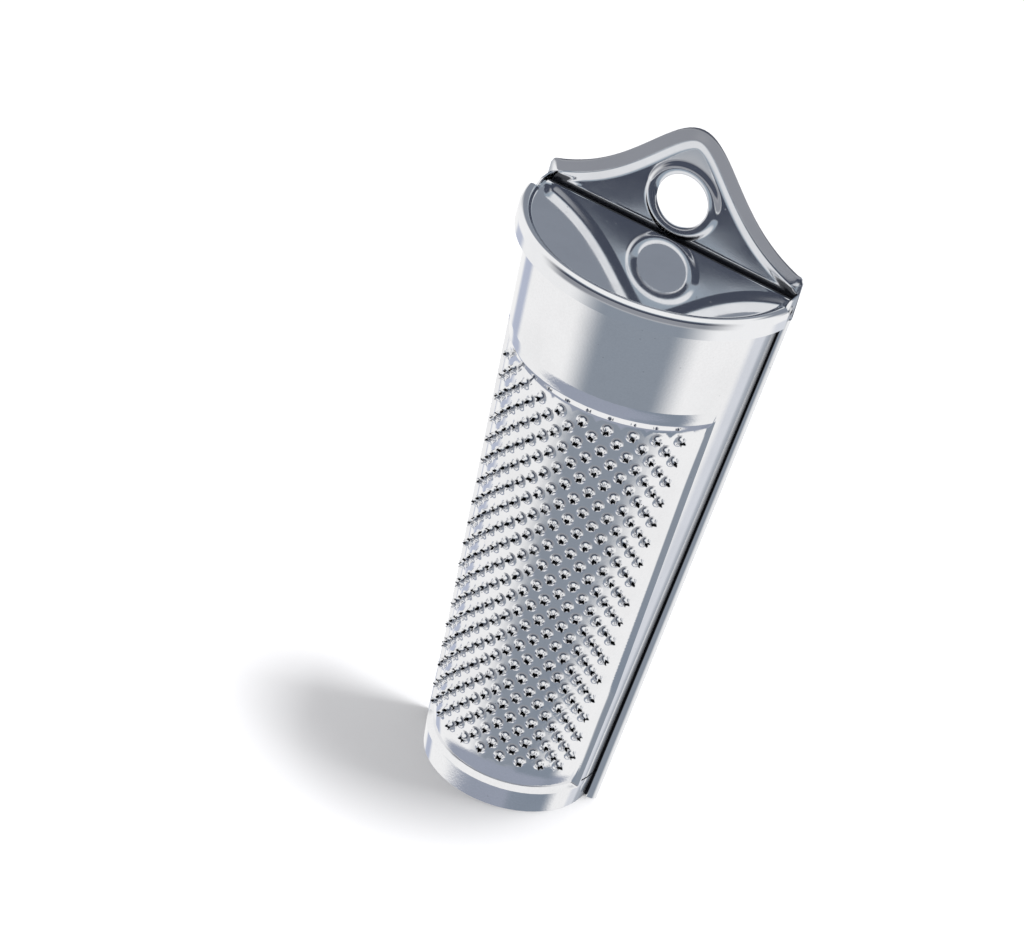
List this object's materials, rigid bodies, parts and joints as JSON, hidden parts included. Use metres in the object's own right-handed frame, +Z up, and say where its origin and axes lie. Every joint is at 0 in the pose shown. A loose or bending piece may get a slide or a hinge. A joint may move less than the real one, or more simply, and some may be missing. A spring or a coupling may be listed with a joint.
{
  "type": "half-round nutmeg grater",
  "caption": "Half-round nutmeg grater of pressed tinplate: tapered pierced shell on a flat back plate with a hanging tab, and a nutmeg box under a hinged half-round lid.",
  "frame": {"origin": "middle of the bounding box at the foot: on the plane the grater stands on, centred left to right and between the lid's front and the back plate's back face", "axes": "+Z up along the grater's length, from its open foot to the hanging tab; -Y is the rounded grating side; the back plate lies square to Y; +X is the grater's right seen from the grating side"},
  "size_m": [0.0494, 0.027, 0.1284],
  "materials": {
    "plate_tin": "bright tinplate, near mirror on the tab",
    "shell_tin": "satin bright tinplate with pierced burrs",
    "lid_tin": "glossy tinplate, near mirror on the flat top",
    "inner_tin": "satin tinplate inside the box",
    "rivet_steel": "plated rivet steel"
  },
  "bodies": {
    "frame": {"back_plate": "plate_tin", "grater_shell": "shell_tin", "grating_burrs": "shell_tin", "compartment_floor": "inner_tin", "hinge_pin_left": "rivet_steel", "hinge_pin_right": "rivet_steel"},
    "cover": {"lid": "lid_tin"}
  },
  "joints": [
    {"name": "lid_hinge", "type": "hinge", "parent": "frame", "child": "cover", "pos_m": [0, 0.01095, 0.1063], "axis": [-1, 0, 0], "range_deg": [0, 82]}
  ]
}
